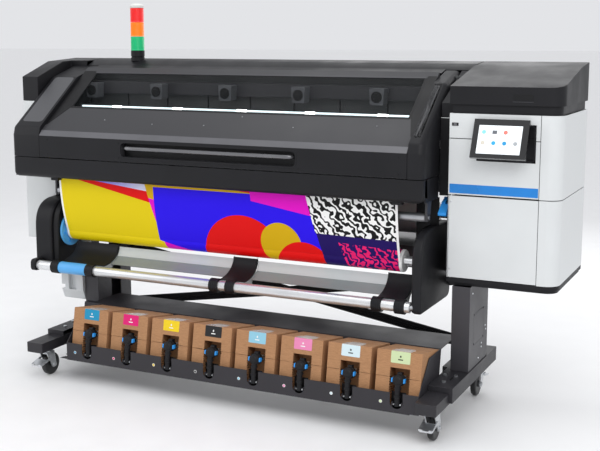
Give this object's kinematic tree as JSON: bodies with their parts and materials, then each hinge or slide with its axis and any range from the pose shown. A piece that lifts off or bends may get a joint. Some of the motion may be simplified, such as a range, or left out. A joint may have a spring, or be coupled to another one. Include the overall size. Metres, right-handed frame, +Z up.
{
  "type": "roll printer with cross cutter",
  "caption": "Wide roll printer with a hinged hood and window, service cabinet with touch screen, take-up reel, ink boxes in a low tray and a caster stand.",
  "frame": {"origin": "on the floor under the middle of the bounding box", "axes": "+X along the width towards the service cabinet, -Y towards the operator, +Z up"},
  "size_m": [2.583, 0.87, 1.666],
  "materials": {
    "white_sheet": "fine satin powder coat",
    "black_moulding": "fine textured",
    "grey_moulding": "fine textured",
    "stand_paint": "satin powder coat",
    "frame_steel": "plain",
    "tube_aluminium": "anodised",
    "zinc": "zinc plated",
    "wheel_rubber": "smooth",
    "cardboard": "kraft",
    "blue_plastic": "satin",
    "window": "smoked",
    "screen_glass": "gloss",
    "signal_lens": "ribbed",
    "media": "printed, satin",
    "deflector_sheet": "satin",
    "bottle": "translucent",
    "roller_rubber": "fine",
    "carriage": "fine textured"
  },
  "bodies": {
    "root": {"feet": "stand_paint", "foot_covers": "stand_paint", "posts": "stand_paint", "cross_braces": "stand_paint", "stand_bolts": "zinc", "supply_tray": "stand_paint", "supply_boxes": "cardboard", "main_frame": "frame_steel", "platen": "tube_aluminium", "rear_cover": "black_moulding", "top_cover": "black_moulding", "left_end_cover": "white_sheet", "left_cap": "black_moulding", "hood_wings": "black_moulding", "lower_fascia": "black_moulding", "cabinet_shell": "white_sheet", "cabinet_front": "white_sheet", "cabinet_cap": "black_moulding", "cabinet_base": "black_moulding", "screen_mount": "black_moulding", "beacon": "signal_lens", "reel_housing_left": "black_moulding", "reel_housing_right": "black_moulding", "carriage_rail": "tube_aluminium", "curing_unit": "grey_moulding", "media_web": "media", "waste_bottle": "bottle"},
    "hood_door": {"front_door": "black_moulding", "door_window": "window", "door_handle": "grey_moulding"},
    "cabinet_door": {"service_door": "white_sheet"},
    "screen": {"touch_screen": "screen_glass"},
    "reel": {"reel_spindle": "tube_aluminium", "take_up_roll": "media"},
    "deflector": {"deflector_tube": "tube_aluminium", "deflector_arms": "grey_moulding", "deflector_sheets": "deflector_sheet"},
    "carriage": {"print_carriage": "carriage"},
    "cutter": {"cross_cutter": "carriage"},
    "drive": {"drive_roller": "tube_aluminium"},
    "pinch": {"pinch_rollers": "roller_rubber"},
    "output": {"output_roller": "tube_aluminium"},
    "lever": {"load_lever": "blue_plastic"},
    "supply": {"supply_roll": "media"},
    "ink_connector_1": {"connector_1": "black_moulding"},
    "ink_connector_2": {"connector_2": "black_moulding"},
    "ink_connector_3": {"connector_3": "black_moulding"},
    "ink_connector_4": {"connector_4": "black_moulding"},
    "ink_connector_5": {"connector_5": "black_moulding"},
    "ink_connector_6": {"connector_6": "black_moulding"},
    "ink_connector_7": {"connector_7": "black_moulding"},
    "ink_connector_8": {"connector_8": "black_moulding"},
    "caster_fl": {"caster_fork_fl": "zinc"},
    "wheel_fl": {"caster_wheel_fl": "wheel_rubber"},
    "caster_fr": {"caster_fork_fr": "zinc"},
    "wheel_fr": {"caster_wheel_fr": "wheel_rubber"},
    "caster_rl": {"caster_fork_rl": "zinc"},
    "wheel_rl": {"caster_wheel_rl": "wheel_rubber"},
    "caster_rr": {"caster_fork_rr": "zinc"},
    "wheel_rr": {"caster_wheel_rr": "wheel_rubber"}
  },
  "joints": [
    {"name": "hood_door_hinge", "type": "hinge", "parent": "root", "child": "hood_door", "pos_m": [-0.1515, 0.199, 1.351], "axis": [-1, 0, 0], "range_deg": [0, 65]},
    {"name": "service_door_hinge", "type": "hinge", "parent": "root", "child": "cabinet_door", "pos_m": [0.8695, -0.045, 0.73], "axis": [0, 0, -1], "range_deg": [0, 110]},
    {"name": "screen_tilt", "type": "hinge", "parent": "root", "child": "screen", "pos_m": [1.0685, -0.09, 1.1], "axis": [1, 0, 0], "range_deg": [-4, 20]},
    {"name": "reel_spin", "type": "hinge", "parent": "root", "child": "reel", "pos_m": [-0.1235, -0.035, 0.61], "axis": [1, 0, 0], "continuous": true},
    {"name": "deflector_swing", "type": "hinge", "parent": "root", "child": "deflector", "pos_m": [-0.1235, -0.173, 0.456], "axis": [1, 0, 0], "range_deg": [-30, 0]},
    {"name": "carriage_travel", "type": "slide", "parent": "root", "child": "carriage", "axis": [-1, 0, 0], "range_m": [0, 1.99]},
    {"name": "cutter_travel", "type": "slide", "parent": "root", "child": "cutter", "axis": [-1, 0, 0], "range_m": [0, 1.72]},
    {"name": "drive_roller_spin", "type": "hinge", "parent": "root", "child": "drive", "pos_m": [-0.1415, 0.215, 0.912], "axis": [1, 0, 0], "continuous": true},
    {"name": "pinch_roller_spin", "type": "hinge", "parent": "root", "child": "pinch", "pos_m": [-0.1415, 0.215, 0.9408], "axis": [1, 0, 0], "continuous": true},
    {"name": "output_roller_spin", "type": "hinge", "parent": "root", "child": "output", "pos_m": [-0.1415, -0.09, 0.803], "axis": [1, 0, 0], "continuous": true},
    {"name": "load_lever_hinge", "type": "hinge", "parent": "root", "child": "lever", "pos_m": [0.8195, 0.047, 0.858], "axis": [1, 0, 0], "range_deg": [-28, 0]},
    {"name": "supply_roll_spin", "type": "hinge", "parent": "root", "child": "supply", "pos_m": [-0.1415, 0.3204, 0.745], "axis": [1, 0, 0], "continuous": true},
    {"name": "connector_1_hinge", "type": "hinge", "parent": "root", "child": "ink_connector_1", "pos_m": [-0.6605, -0.369, 0.128], "axis": [1, 0, 0], "range_deg": [0, 60]},
    {"name": "connector_2_hinge", "type": "hinge", "parent": "root", "child": "ink_connector_2", "pos_m": [-0.4555, -0.369, 0.128], "axis": [1, 0, 0], "range_deg": [0, 60]},
    {"name": "connector_3_hinge", "type": "hinge", "parent": "root", "child": "ink_connector_3", "pos_m": [-0.2505, -0.369, 0.128], "axis": [1, 0, 0], "range_deg": [0, 60]},
    {"name": "connector_4_hinge", "type": "hinge", "parent": "root", "child": "ink_connector_4", "pos_m": [-0.0455, -0.369, 0.128], "axis": [1, 0, 0], "range_deg": [0, 60]},
    {"name": "connector_5_hinge", "type": "hinge", "parent": "root", "child": "ink_connector_5", "pos_m": [0.1595, -0.369, 0.128], "axis": [1, 0, 0], "range_deg": [0, 60]},
    {"name": "connector_6_hinge", "type": "hinge", "parent": "root", "child": "ink_connector_6", "pos_m": [0.3645, -0.369, 0.128], "axis": [1, 0, 0], "range_deg": [0, 60]},
    {"name": "connector_7_hinge", "type": "hinge", "parent": "root", "child": "ink_connector_7", "pos_m": [0.5695, -0.369, 0.128], "axis": [1, 0, 0], "range_deg": [0, 60]},
    {"name": "connector_8_hinge", "type": "hinge", "parent": "root", "child": "ink_connector_8", "pos_m": [0.7745, -0.369, 0.128], "axis": [1, 0, 0], "range_deg": [0, 60]},
    {"name": "caster_fl_swivel", "type": "hinge", "parent": "root", "child": "caster_fl", "pos_m": [-0.9025, -0.355, 0.12], "axis": [0, 0, 1], "continuous": true},
    {"name": "wheel_fl_spin", "type": "hinge", "parent": "caster_fl", "child": "wheel_fl", "pos_m": [-0.9025, -0.33, 0.05], "axis": [1, 0, 0], "continuous": true},
    {"name": "caster_fr_swivel", "type": "hinge", "parent": "root", "child": "caster_fr", "pos_m": [0.9085, -0.355, 0.12], "axis": [0, 0, 1], "continuous": true},
    {"name": "wheel_fr_spin", "type": "hinge", "parent": "caster_fr", "child": "wheel_fr", "pos_m": [0.9085, -0.33, 0.05], "axis": [1, 0, 0], "continuous": true},
    {"name": "caster_rl_swivel", "type": "hinge", "parent": "root", "child": "caster_rl", "pos_m": [-0.9025, 0.255, 0.12], "axis": [0, 0, 1], "continuous": true},
    {"name": "wheel_rl_spin", "type": "hinge", "parent": "caster_rl", "child": "wheel_rl", "pos_m": [-0.9025, 0.23, 0.05], "axis": [1, 0, 0], "continuous": true},
    {"name": "caster_rr_swivel", "type": "hinge", "parent": "root", "child": "caster_rr", "pos_m": [0.9085, 0.255, 0.12], "axis": [0, 0, 1], "continuous": true},
    {"name": "wheel_rr_spin", "type": "hinge", "parent": "caster_rr", "child": "wheel_rr", "pos_m": [0.9085, 0.23, 0.05], "axis": [1, 0, 0], "continuous": true}
  ],
  "couplings": [
    {"joint": "pinch_roller_spin", "follows": "drive_roller_spin", "ratio": -2},
    {"joint": "output_roller_spin", "follows": "drive_roller_spin", "ratio": 1.0588}
  ]
}
